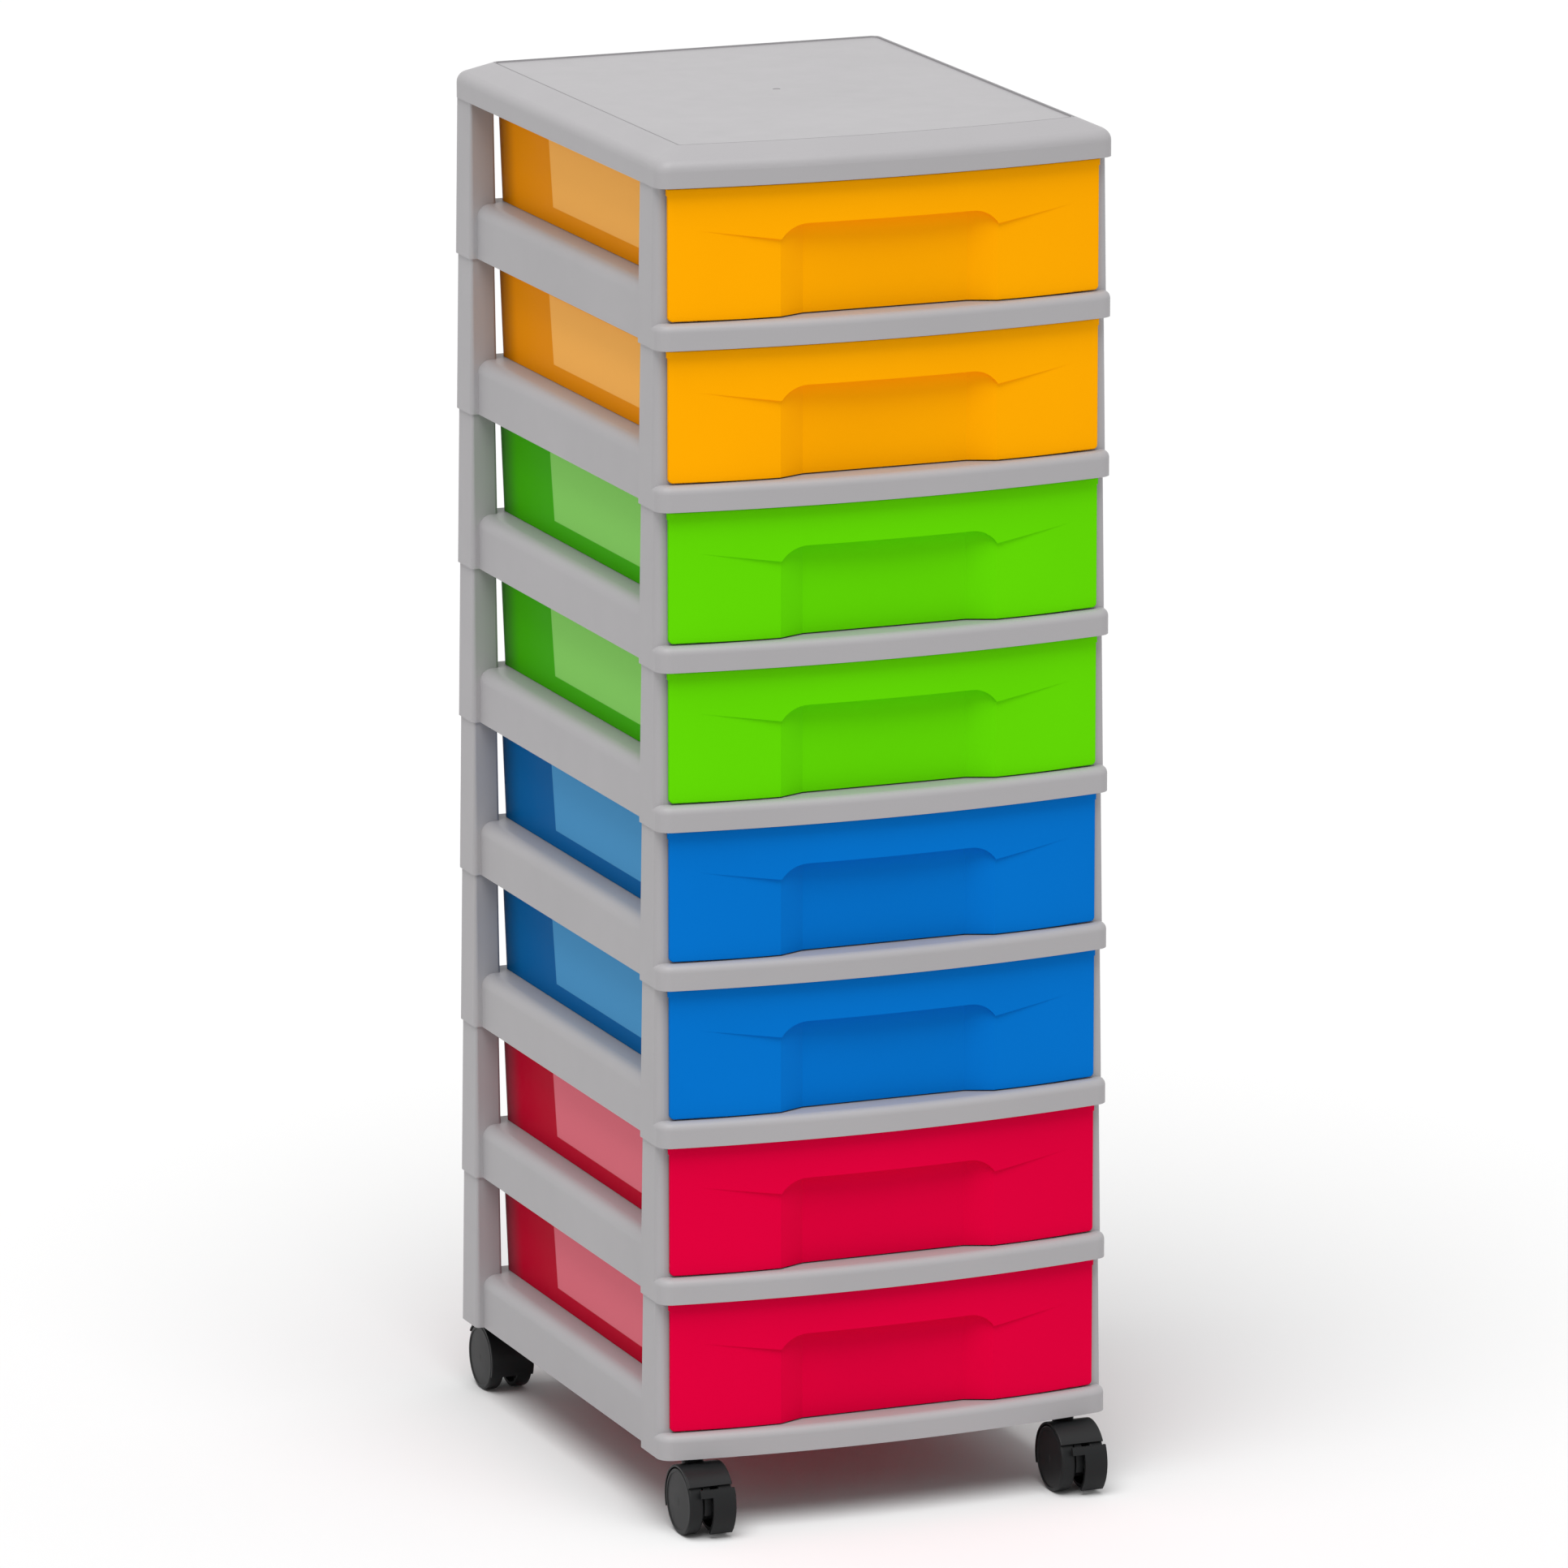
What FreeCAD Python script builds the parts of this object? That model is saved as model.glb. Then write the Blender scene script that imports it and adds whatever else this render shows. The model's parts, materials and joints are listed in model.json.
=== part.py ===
import FreeCAD, Part
import Sketcher
import os

# Drawer tower on castors: eight stacked frames with a drawer each, a top cover and four castors.
# Millimetres. X runs across the front, Y from the front to the back, Z up from the floor.
# Each piece is drawn with Y zero on the front plane of the posts and set in its place afterwards.

TIERS = 8
WHEEL_RIBS = 6
GRIP_RIDGES = 12

# How near two places must be to count as the same when an edge is looked up.
NEAR = 0.01

SIZES = {
    # The tower as a whole
    "tower_width": 322,
    "tower_depth": 372,
    "tier_pitch": 107,
    "castor_height": 51,
    "overrun": 5,
    # The bow that the drawer fronts, the front rails and the cover share
    "front_inset": 9,
    "front_bow": 12.5,
    "rail_lead": 6.5,
    # One frame: a ring with a ledge, a post at each corner and a rail across the front
    "frame_wall": 2.5,
    "rail_height": 37,
    "rail_inset": 5.5,
    "rail_slope": 4.4,
    "rail_round": 9,
    "ledge_width": 32,
    "opening_round": 8,
    "riser_set_back": 1,
    "front_rail_height": 17,
    "front_rail_round": 5,
    "corner_round": 10,
    "post_width": 20,
    "front_post_depth": 33,
    "rear_post_depth": 32,
    "post_round": 6,
    "post_front_round": 3,
    "post_draft": 1.5,
    "post_cap": 3,
    "spigot_height": 8,
    "spigot_gap": 0.3,
    # Sockets for the castor stems
    "stem_inset": 27,
    "front_stem_set_back": 4,
    "rear_stem_inset": 20,
    "socket_diameter": 11,
    "socket_depth": 26,
    # The cover
    "cover_height": 25,
    "cover_wall": 2.5,
    "cover_shoulder": 16,
    "shoulder_round": 8,
    "panel_inset": 22,
    "panel_land": 2,
    "panel_depth": 1,
    "panel_round": 4,
    "rib_height": 10,
    "rib_wall": 2,
    "gate_diameter": 5,
    "gate_depth": 0.4,
    # One drawer front
    "front_base": 18,
    "front_height": 87.7,
    "front_gap": 0.4,
    "front_wall": 2.8,
    "front_corner_round": 3,
    "front_edge_round": 0.8,
    "lip_height": 4.5,
    "lip_reach": 0.8,
    # The grip recess and the two shallow wings beside it
    "brow_drop": 26.7,
    "brow_half": 58,
    "brow_end_drop": 36.5,
    "brow_end_half": 76.5,
    "wing_inset": 19,
    "wing_end_drop": 28,
    "wing_depth": 1.8,
    "wing_radius": 600,
    # One drawer tub
    "slide_gap": 0.3,
    "rim_gap": 1,
    "rim_reach": 3,
    "rim_thickness": 2,
    "rim_drop": 2,
    "tub_draft": 2.6,
    "tub_wall": 2.2,
    "tub_corner_round": 12,
    "tub_rear_gap": 14,
    # One twin wheel castor
    "wheel_diameter": 45,
    "wheel_width": 10,
    "wheel_spacing": 11,
    "rim_depth": 3.2,
    "disc_wall": 2.2,
    "disc_band": 2.6,
    "disc_step": 0.5,
    "tread_round": 1.6,
    "hub_diameter": 10,
    "hub_gap": 0.3,
    "wheel_rib_wall": 1.2,
    "wheel_rib_depth": 3.5,
    "wheel_rib_lap": 0.5,
    "axle_diameter": 5,
    "axle_end_gap": 0.4,
    "axle_fit": 0.1,
    "axle_running_fit": 0.1,
    "stem_diameter": 8,
    "stem_fit": 0.1,
    "stem_base": 20,
    "stem_end_gap": 0.3,
    "stem_chamfer": 0.8,
    "stem_groove_drop": 8,
    "stem_groove_width": 3,
    "stem_groove_depth": 0.6,
    "trail": 13,
    "hood_gap": 0.6,
    "hood_wall": 1.6,
    "hood_edge_round": 0.7,
    "hood_front_angle": 36,
    "hood_back_angle": 202,
    "web_width": 10,
    "core_diameter": 28,
    "core_width": 13,
    "neck_diameter": 14.5,
    "neck_gap": 0.3,
    # The brake lever of a front castor
    "lever_reach": 19,
    "lever_gap": 2.8,
    "lever_wall": 2,
    "lever_side_gap": 0.3,
    "lever_side_lap": 0.5,
    "lever_arm_width": 4.4,
    "lever_arm_height": 5.2,
    "lever_boss_diameter": 6.2,
    "lever_pin_diameter": 3,
    "lever_top_angle": 29,
    "lever_lip_angle": 17,
    "lever_lip_reach": 9,
    "lever_bottom_angle": 45,
    "lug_radius": 22,
    "lug_low_angle": 14,
    "ridge_diameter": 1.4,
    "ridge_length": 2.6,
}

document = FreeCAD.newDocument("drawer_tower")
sheet = document.addObject("Spreadsheet::Sheet", "size")
for row, (size_name, size_value) in enumerate(SIZES.items(), start=1):
    sheet.set(f"A{row}", str(size_value))
    sheet.setAlias(f"A{row}", size_name)
document.recompute()

# Places that several pieces share, as formulas of the named sizes
HALF = "size.tower_width / 2"
FRONT_HALF = f"({HALF} - size.front_inset)"
BOW_RADIUS = f"({FRONT_HALF} ^ 2 + size.front_bow ^ 2) / (2 * size.front_bow)"
BOW_CENTRE = f"({BOW_RADIUS} - size.front_bow - size.front_gap - size.front_wall)"
FRONT_TOP = "(size.front_base + size.front_height)"
STEM_X = f"({HALF} - size.stem_inset)"
FRONT_STEM_Y = "size.front_stem_set_back"
REAR_STEM_Y = "(size.tower_depth - size.rear_stem_inset)"
WHEEL_RADIUS = "(size.wheel_diameter / 2)"
LEVER_INNER = f"({WHEEL_RADIUS} + size.lever_gap)"
LEVER_OUTER = f"({LEVER_INNER} + size.lever_wall)"
HOOD_INNER = f"({WHEEL_RADIUS} + size.hood_gap)"
HOOD_OUTER = f"({HOOD_INNER} + size.hood_wall)"
WHEEL_INNER_X = "(size.wheel_spacing / 2)"
WHEEL_OUTER_X = f"({WHEEL_INNER_X} + size.wheel_width)"
DISC_X = f"({WHEEL_OUTER_X} - size.disc_wall)"

# The castors reach furthest at both ends, so the origin lies midway between them.
FRONT_END = f"({FRONT_STEM_Y} - size.trail - {LEVER_OUTER})"
REAR_END = f"({REAR_STEM_Y} + size.trail + {WHEEL_RADIUS})"
SHIFT = f"-({FRONT_END} + {REAR_END}) / 2"


def value(expression):
    """Number that a formula of the named sizes gives."""
    return float(sheet.evalExpression(expression))


def bow_y(half_width, lead):
    """Front to back place of the bow, moved forward by lead, at a distance from the middle."""
    return f"{BOW_CENTRE} - sqrt(({BOW_RADIUS} + {lead}) ^ 2 - ({half_width}) ^ 2)"


def new_body(label):
    return document.addObject("PartDesign::Body", label)


def new_sketch(body, name, role="XY_Plane", offset="0"):
    """Sketch on one of the body's own origin planes, moved along its normal by offset."""
    sketch = body.newObject("Sketcher::SketchObject", name)
    plane = [item for item in body.Origin.OriginFeatures if item.Role == role][0]
    sketch.AttachmentSupport = [(plane, "")]
    sketch.MapMode = "FlatFace"
    if offset != "0":
        sketch.setExpression("AttachmentOffset.Base.z", offset)
    return sketch


def pin(sketch, geometry, point, x, y):
    """Hold one point of a sketch at a named place."""
    for kind, axis, expression in (("DistanceX", -2, x), ("DistanceY", -1, y)):
        if expression == "0":
            sketch.addConstraint(Sketcher.Constraint("PointOnObject", geometry, point, axis))
            continue
        held = Sketcher.Constraint(kind, -1, 1, geometry, point, value(expression))
        index = sketch.addConstraint(held)
        sketch.setExpression(f"Constraints[{index}]", expression)


def hold_radius(sketch, geometry, expression):
    index = sketch.addConstraint(Sketcher.Constraint("Radius", geometry, value(expression)))
    sketch.setExpression(f"Constraints[{index}]", expression)


def arc_between(start, end, centre):
    """Arc that turns left from start to end about centre."""
    whole = Part.Circle(centre, FreeCAD.Vector(0, 0, 1), (start - centre).Length)
    return Part.ArcOfCircle(whole, whole.parameter(start), whole.parameter(end))


def circle(sketch, x, y, radius):
    centre = FreeCAD.Vector(value(x), value(y), 0)
    shape = Part.Circle(centre, FreeCAD.Vector(0, 0, 1), value(radius))
    geometry = sketch.addGeometry(shape, False)
    pin(sketch, geometry, 3, x, y)
    hold_radius(sketch, geometry, radius)


def side_between(sketch, start, end, curve):
    """One side of an outline. Returns its geometry and which of its points are its two ends."""
    if curve is None:
        return sketch.addGeometry(Part.LineSegment(start, end), False), 1, 2
    radius, hand = curve
    across = end - start
    turn = 1 if hand == "left" else -1
    normal = FreeCAD.Vector(-across.y, across.x, 0).normalize() * turn
    reach = (value(radius) ** 2 - across.Length ** 2 / 4) ** 0.5
    centre = start + across * 0.5 + normal * reach
    if turn == 1:
        geometry, first, last = sketch.addGeometry(arc_between(start, end, centre), False), 1, 2
    else:
        geometry, first, last = sketch.addGeometry(arc_between(end, start, centre), False), 2, 1
    hold_radius(sketch, geometry, radius)
    return geometry, first, last


def outline(sketch, corners, curves=None):
    """Closed outline through named corners, each (x, y) or (x, y, rounding).

    curves gives, for the side after a corner, its radius and the hand its centre lies on.
    A rounded corner lies between two straight sides.
    """
    curves = curves or {}
    count = len(corners)
    points = [FreeCAD.Vector(value(corner[0]), value(corner[1]), 0) for corner in corners]
    entries, exits, roundings = [], [], []
    for index, corner in enumerate(corners):
        point = points[index]
        if len(corner) == 2:
            entries.append(point)
            exits.append(point)
            roundings.append(None)
            continue
        back = (points[index - 1] - point).normalize()
        ahead = (points[(index + 1) % count] - point).normalize()
        radius = value(corner[2])
        middle = (back + ahead).normalize()
        cosine = middle.dot(back)
        sine = (1 - cosine ** 2) ** 0.5
        entries.append(point + back * (radius * cosine / sine))
        exits.append(point + ahead * (radius * cosine / sine))
        roundings.append((point + middle * (radius / sine), back.cross(ahead).z < 0))
    sides = []
    for index in range(count):
        end = entries[(index + 1) % count]
        sides.append(side_between(sketch, exits[index], end, curves.get(index)))
    for index, corner in enumerate(corners):
        before, _, before_end = sides[index - 1]
        after, after_start, _ = sides[index]
        if roundings[index] is None:
            joined = Sketcher.Constraint("Coincident", before, before_end, after, after_start)
            sketch.addConstraint(joined)
            pin(sketch, after, after_start, corner[0], corner[1])
            continue
        centre, turns_left = roundings[index]
        if turns_left:
            shape, first, last = arc_between(entries[index], exits[index], centre), 1, 2
        else:
            shape, first, last = arc_between(exits[index], entries[index], centre), 2, 1
        arc = sketch.addGeometry(shape, False)
        sketch.addConstraint(Sketcher.Constraint("Tangent", before, before_end, arc, first))
        sketch.addConstraint(Sketcher.Constraint("Tangent", arc, last, after, after_start))
        hold_radius(sketch, arc, corner[2])
        meeting = sketch.addGeometry(Part.Point(points[index]), True)
        sketch.addConstraint(Sketcher.Constraint("PointOnObject", meeting, 1, before))
        sketch.addConstraint(Sketcher.Constraint("PointOnObject", meeting, 1, after))
        pin(sketch, meeting, 1, corner[0], corner[1])


def rectangle(sketch, low_x, high_x, low_y, high_y, rounding=None):
    corners = [(low_x, low_y), (high_x, low_y), (high_x, high_y), (low_x, high_y)]
    if rounding:
        corners = [corner + (rounding,) for corner in corners]
    outline(sketch, corners)


def bowed_plate(sketch, half_width, lead, back):
    """Outline with straight sides and back and the shared bow along the front."""
    front = bow_y(half_width, lead)
    corners = [
        (f"-({half_width})", front),
        (f"-({half_width})", back),
        (half_width, back),
        (half_width, front),
    ]
    outline(sketch, corners, {3: (f"{BOW_RADIUS} + {lead}", "right")})


def rounded_plate(sketch, half_width, lead, back, rounding):
    """The same outline with all four corners rounded."""
    bow = f"({BOW_RADIUS} + {lead})"
    side_front = bow_y(f"{half_width} - {rounding}", f"{lead} - {rounding}")
    bow_end = f"(({half_width} - {rounding}) * {bow} / ({bow} - {rounding}))"
    bow_front = bow_y(bow_end, lead)
    corners = [
        (f"-({half_width})", side_front),
        (f"-({half_width})", f"{back} - {rounding}"),
        (f"-({half_width} - {rounding})", back),
        (f"{half_width} - {rounding}", back),
        (half_width, f"{back} - {rounding}"),
        (half_width, side_front),
        (bow_end, bow_front),
        (f"-{bow_end}", bow_front),
    ]
    corner = (rounding, "right")
    outline(sketch, corners, {1: corner, 3: corner, 5: corner, 6: (bow, "right"), 7: corner})


def pad(body, name, sketch, length, taper=None, side="One side"):
    feature = body.newObject("PartDesign::Pad", name)
    feature.Profile = sketch
    feature.SideType = side
    feature.setExpression("Length", length)
    if taper:
        feature.setExpression("TaperAngle", taper)
    document.recompute()
    return feature


def pocket(body, name, sketch, depth, upward=False, taper=None, side="One side"):
    """Cut along the sketch's normal when upward, else against it, and check that it cuts."""
    before = body.Tip.Shape.Volume
    feature = body.newObject("PartDesign::Pocket", name)
    feature.Profile = sketch
    feature.SideType = side
    feature.Reversed = upward
    feature.setExpression("Length", depth)
    if taper:
        feature.setExpression("TaperAngle", taper)
    document.recompute()
    if feature.Shape.Volume >= before:
        raise RuntimeError(f"{name} of {body.Label} cuts nothing")
    return feature


def loft(body, name, kind, start, end):
    """Straight sided shape between two outlines, added or taken away."""
    feature = body.newObject(f"PartDesign::{kind}Loft", name)
    feature.Profile = start
    feature.Sections = [end]
    feature.Ruled = True
    document.recompute()
    return feature


def round_edges(body, name, radius, chosen):
    """Round the edges of the body that chosen(edge box) picks."""
    base = body.Tip
    names = []
    for index, edge in enumerate(base.Shape.Edges, start=1):
        if chosen(edge.BoundBox):
            names.append(f"Edge{index}")
    if not names:
        raise RuntimeError(f"{name} of {body.Label} finds no edge")
    feature = body.newObject("PartDesign::Fillet", name)
    feature.Base = (base, names)
    feature.setExpression("Radius", radius)
    document.recompute()
    return feature


def same(first, second):
    return abs(first - second) < NEAR


def upright(box):
    return box.XLength < NEAR and box.YLength < NEAR


def at_height(box, height):
    return same(box.ZMin, height) and same(box.ZMax, height)


def revolved(body, name, sketch, axis):
    feature = body.newObject("PartDesign::Revolution", name)
    feature.Profile = sketch
    feature.ReferenceAxis = (sketch, [axis])
    feature.Angle = 360
    document.recompute()
    return feature


def copy_of(source, label):
    """Body that starts as a copy of another body's shape."""
    body = new_body(label)
    base = body.newObject("PartDesign::FeatureBase", f"{label}_shape")
    base.BaseFeature = source
    body.Tip = base
    return body


def place(body, x, y, z, turned=False):
    """Set a body in its place, turned half round about the vertical if asked."""
    if turned:
        body.Placement = FreeCAD.Placement(FreeCAD.Vector(), FreeCAD.Rotation(180, 0, 0))
    for axis, expression in (("x", x), ("y", y), ("z", z)):
        body.setExpression(f"Placement.Base.{axis}", expression)
    return body


# Frame

RING_HALF = f"({HALF} - size.rail_inset)"
RING_BACK = "(size.tower_depth - size.rail_inset)"
OPENING_HALF = f"({RING_HALF} - size.ledge_width)"
OPENING_FRONT = "(size.riser_set_back + size.ledge_width)"
OPENING_BACK = f"({RING_BACK} - size.ledge_width)"
POST_TAPER = "-atan(size.post_draft / size.tier_pitch)"


def front_rail(body):
    sketch = new_sketch(body, "front_rail_outline")
    bowed_plate(sketch, HALF, "size.rail_lead", "size.post_round")
    pad(body, "front_rail", sketch, "size.front_rail_height")
    front = value(bow_y(HALF, "size.rail_lead"))
    round_edges(body, "front_rail_corners", "size.corner_round",
                lambda box: upright(box) and same(box.YMax, front))
    top = value("size.front_rail_height")
    back = value("size.post_round")
    round_edges(body, "front_rail_top", "size.front_rail_round",
                lambda box: at_height(box, top) and not same(box.YMin, back))
    sketch = new_sketch(body, "front_rail_core")
    bowed_plate(sketch, f"{HALF} - size.corner_round - size.frame_wall",
                "size.rail_lead - size.frame_wall", "size.riser_set_back")
    pocket(body, "front_rail_hollow", sketch,
           "size.front_rail_height - size.frame_wall", upward=True)


def ring(body):
    """Rails along the sides and the back, with the ledge that carries the drawer."""
    sketch = new_sketch(body, "ring_outline")
    rectangle(sketch, f"-{RING_HALF}", RING_HALF, "size.riser_set_back", RING_BACK)
    pad(body, "ring", sketch, "size.rail_height")
    sketch = new_sketch(body, "ring_core")
    core_half = f"({RING_HALF} - size.frame_wall)"
    core_back = f"({RING_BACK} - size.frame_wall)"
    rectangle(sketch, f"-{core_half}", core_half,
              "size.riser_set_back + size.frame_wall", core_back)
    lip_half = f"({OPENING_HALF} + size.frame_wall)"
    rectangle(sketch, f"-{lip_half}", lip_half, f"{OPENING_FRONT} - size.frame_wall",
              f"{OPENING_BACK} + size.frame_wall", "size.opening_round + size.frame_wall")
    pocket(body, "ring_hollow", sketch, "size.rail_height - size.frame_wall", upward=True)
    inner_top = value("size.rail_height - size.frame_wall")
    inner_half = value(core_half)
    inner_back = value(core_back)
    round_edges(body, "ring_inner_edge", "size.rail_round - size.frame_wall",
                lambda box: at_height(box, inner_top)
                and (same(box.XMax, -inner_half) or same(box.XMin, inner_half)
                     or same(box.YMin, inner_back)))
    outer_top = value("size.rail_height")
    outer_half = value(RING_HALF)
    outer_back = value(RING_BACK)
    round_edges(body, "ring_outer_edge", "size.rail_round",
                lambda box: at_height(box, outer_top)
                and (same(box.XMax, -outer_half) or same(box.XMin, outer_half)
                     or same(box.YMin, outer_back)))
    sketch = new_sketch(body, "opening_outline")
    rectangle(sketch, f"-{OPENING_HALF}", OPENING_HALF, OPENING_FRONT, OPENING_BACK,
              "size.opening_round")
    pocket(body, "opening", sketch, "size.rail_height + size.overrun", upward=True)


def posts(body):
    """A drafted hollow post at each corner, with a spigot on top for the piece above."""
    front_depth = "size.front_post_depth"
    rear_front = "(size.tower_depth - size.rear_post_depth)"
    depth = "size.tower_depth"
    for side, side_name in ((-1, "left"), (1, "right")):
        outer = f"{side} * ({HALF})"
        stepped = f"{side} * {RING_HALF}"
        inner = f"{side} * ({HALF} - size.post_width)"
        sketch = new_sketch(body, f"front_{side_name}_post_outline")
        outline(sketch, [
            (outer, "0", "size.post_round"),
            (outer, f"{front_depth} - size.rail_slope"),
            (stepped, front_depth),
            (inner, front_depth),
            (inner, "0"),
        ])
        pad(body, f"front_{side_name}_post", sketch, "size.tier_pitch", POST_TAPER)
        sketch = new_sketch(body, f"rear_{side_name}_post_outline")
        outline(sketch, [
            (outer, depth, "size.post_round"),
            (outer, rear_front, "size.post_front_round"),
            (inner, rear_front, "size.post_front_round"),
            (inner, depth),
        ])
        pad(body, f"rear_{side_name}_post", sketch, "size.tier_pitch", POST_TAPER)
    places = (
        ("front", "size.frame_wall", f"{front_depth} - size.rail_slope - size.frame_wall"),
        ("rear", f"{rear_front} + size.frame_wall", f"{depth} - size.frame_wall"),
    )
    for side, side_name in ((-1, "left"), (1, "right")):
        outer = f"{side} * ({HALF} - size.frame_wall)"
        inner = f"{side} * ({HALF} - size.post_width + size.frame_wall)"
        spigot_outer = f"{side} * ({HALF} - size.frame_wall - size.spigot_gap)"
        spigot_inner = f"{side} * ({HALF} - size.post_width + size.frame_wall + size.spigot_gap)"
        for end_name, low, high in places:
            sketch = new_sketch(body, f"{end_name}_{side_name}_post_core")
            rectangle(sketch, outer, inner, low, high)
            pocket(body, f"{end_name}_{side_name}_post_hollow", sketch,
                   "size.tier_pitch - size.post_cap", upward=True, taper=POST_TAPER)
            sketch = new_sketch(body, f"{end_name}_{side_name}_spigot_outline",
                                offset="size.tier_pitch - size.post_cap")
            outer_corner = (spigot_outer, f"{high} - size.spigot_gap")
            if end_name == "rear":
                outer_corner += ("size.corner_round - size.frame_wall - size.spigot_gap",)
            outline(sketch, [
                (spigot_outer, f"{low} + size.spigot_gap"),
                (spigot_inner, f"{low} + size.spigot_gap"),
                (spigot_inner, f"{high} - size.spigot_gap"),
                outer_corner,
            ])
            pad(body, f"{end_name}_{side_name}_spigot", sketch,
                "size.post_cap + size.spigot_height")


def stem_sockets(body):
    """Bosses under the ring that take the castor stems."""
    sketch = new_sketch(body, "socket_outlines")
    for x in (f"-{STEM_X}", STEM_X):
        for y in (FRONT_STEM_Y, REAR_STEM_Y):
            circle(sketch, x, y, "size.socket_diameter / 2")
    pad(body, "sockets", sketch, "size.rail_height - size.frame_wall")
    sketch = new_sketch(body, "socket_bore_outlines")
    for x in (f"-{STEM_X}", STEM_X):
        for y in (FRONT_STEM_Y, REAR_STEM_Y):
            circle(sketch, x, y, "size.stem_diameter / 2 + size.stem_fit")
    pocket(body, "socket_bores", sketch, "size.socket_depth", upward=True)


def build_frame():
    body = new_body("frame_moulding")
    front_rail(body)
    ring(body)
    posts(body)
    stem_sockets(body)
    return body


# Drawer

TUB_BASE = "(size.rail_height + size.slide_gap)"
RIM_TOP = f"({FRONT_TOP} - size.rim_drop)"
RIM_HALF = f"({HALF} - size.post_width - size.rim_gap)"
TUB_HALF = f"({RIM_HALF} - size.rim_reach)"
TUB_BACK = "(size.tower_depth - size.tub_rear_gap)"
TUB_TAPER = f"atan(size.tub_draft / ({RIM_TOP} - {TUB_BASE}))"
WING_HALF = f"({FRONT_HALF} - size.wing_inset)"
WING_Y = f"({bow_y('size.brow_end_half', '0')} + size.wing_depth)"
FLOOR_Y = "-(size.front_gap + size.front_wall)"


def grip_tool():
    """What the grip recess and the wings take out of a drawer front."""
    body = new_body("grip_tool")
    brow = f"({FRONT_TOP} - size.brow_drop)"
    brow_end = f"({FRONT_TOP} - size.brow_end_drop)"
    wing_end = f"({FRONT_TOP} - size.wing_end_drop)"
    below = "size.front_base - size.overrun"
    run = "(size.brow_end_half - size.brow_half)"
    fall = "(size.brow_end_drop - size.brow_drop)"
    brow_radius = f"({run} ^ 2 + {fall} ^ 2) / (2 * {fall})"
    sketch = new_sketch(body, "brow_outline", "XZ_Plane", "-size.overrun")
    outline(sketch, [
        (f"-{WING_HALF}", below),
        (WING_HALF, below),
        (WING_HALF, wing_end),
        ("size.brow_end_half", brow_end),
        ("size.brow_half", brow),
        ("-size.brow_half", brow),
        ("-size.brow_end_half", brow_end),
        (f"-{WING_HALF}", wing_end),
    ], {3: (brow_radius, "left"), 5: (brow_radius, "left")})
    ahead = f"(size.front_bow - {FLOOR_Y} + size.overrun)"
    pad(body, "brow_prism", sketch, f"{ahead} + size.overrun")
    sketch = new_sketch(body, "grip_plan", offset=FRONT_TOP)
    wing_end_y = bow_y(WING_HALF, "0")
    behind = "2 * size.overrun"
    outline(sketch, [
        (f"-{WING_HALF} - size.overrun", behind),
        (f"-{WING_HALF} - size.overrun", wing_end_y),
        (f"-{WING_HALF}", wing_end_y),
        ("-size.brow_end_half", WING_Y),
        ("-size.brow_half", FLOOR_Y),
        ("size.brow_half", FLOOR_Y),
        ("size.brow_end_half", WING_Y),
        (WING_HALF, wing_end_y),
        (f"{WING_HALF} + size.overrun", wing_end_y),
        (f"{WING_HALF} + size.overrun", behind),
    ], {2: ("size.wing_radius", "left"), 6: ("size.wing_radius", "left")})
    pocket(body, "grip_plan_cut", sketch, f"{FRONT_TOP} + size.overrun")
    return body


def drawer_front(body):
    sketch = new_sketch(body, "front_outline", offset="size.front_base")
    bowed_plate(sketch, FRONT_HALF, "0", "-size.front_gap")
    pad(body, "front", sketch, "size.front_height")
    low = value("size.front_base")
    half = value(FRONT_HALF)
    round_edges(body, "front_corners", "size.front_corner_round",
                lambda box: at_height(box, low) and box.XLength < NEAR)
    sketch = new_sketch(body, "lip_outline", offset=f"{FRONT_TOP} - size.lip_height")
    bowed_plate(sketch, f"{FRONT_HALF} + size.lip_reach", "0", "-size.front_gap")
    pad(body, "lip", sketch, "size.lip_height")
    back = value("-size.front_gap")
    lip_half = value(f"{FRONT_HALF} + size.lip_reach")
    top = value(FRONT_TOP)

    def front_edge(box):
        if box.YMax > back - NEAR:
            return False
        along_top = at_height(box, top) and box.XLength > half
        along_bottom = at_height(box, low)
        up_side = upright(box) and abs(box.XMax) > half - NEAR
        return along_top or along_bottom or up_side and abs(box.XMax) <= lip_half + NEAR

    round_edges(body, "front_edges", "size.front_edge_round", front_edge)


def tub(body):
    """Drafted tub with rounded rear corners and a rim that runs under the piece above."""
    sketch = new_sketch(body, "tub_outline", offset=TUB_BASE)
    base_half = f"({TUB_HALF} - size.tub_draft)"
    base_back = f"({TUB_BACK} - size.tub_draft)"
    base_front = "-(size.front_gap + size.front_wall / 2)"
    rounding = "size.tub_corner_round - size.tub_draft"
    outline(sketch, [
        (f"-{base_half}", base_front),
        (base_half, base_front),
        (base_half, base_back, rounding),
        (f"-{base_half}", base_back, rounding),
    ])
    pad(body, "tub", sketch, f"{RIM_TOP} - {TUB_BASE}", TUB_TAPER)
    sketch = new_sketch(body, "rim_outline", offset=f"{RIM_TOP} - size.rim_thickness")
    outline(sketch, [
        (f"-{RIM_HALF}", "-size.front_gap"),
        (RIM_HALF, "-size.front_gap"),
        (RIM_HALF, f"{TUB_BACK} + size.rim_reach", "size.tub_corner_round + size.rim_reach"),
        (f"-{RIM_HALF}", f"{TUB_BACK} + size.rim_reach",
         "size.tub_corner_round + size.rim_reach"),
    ])
    pad(body, "rim", sketch, "size.rim_thickness")


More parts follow.
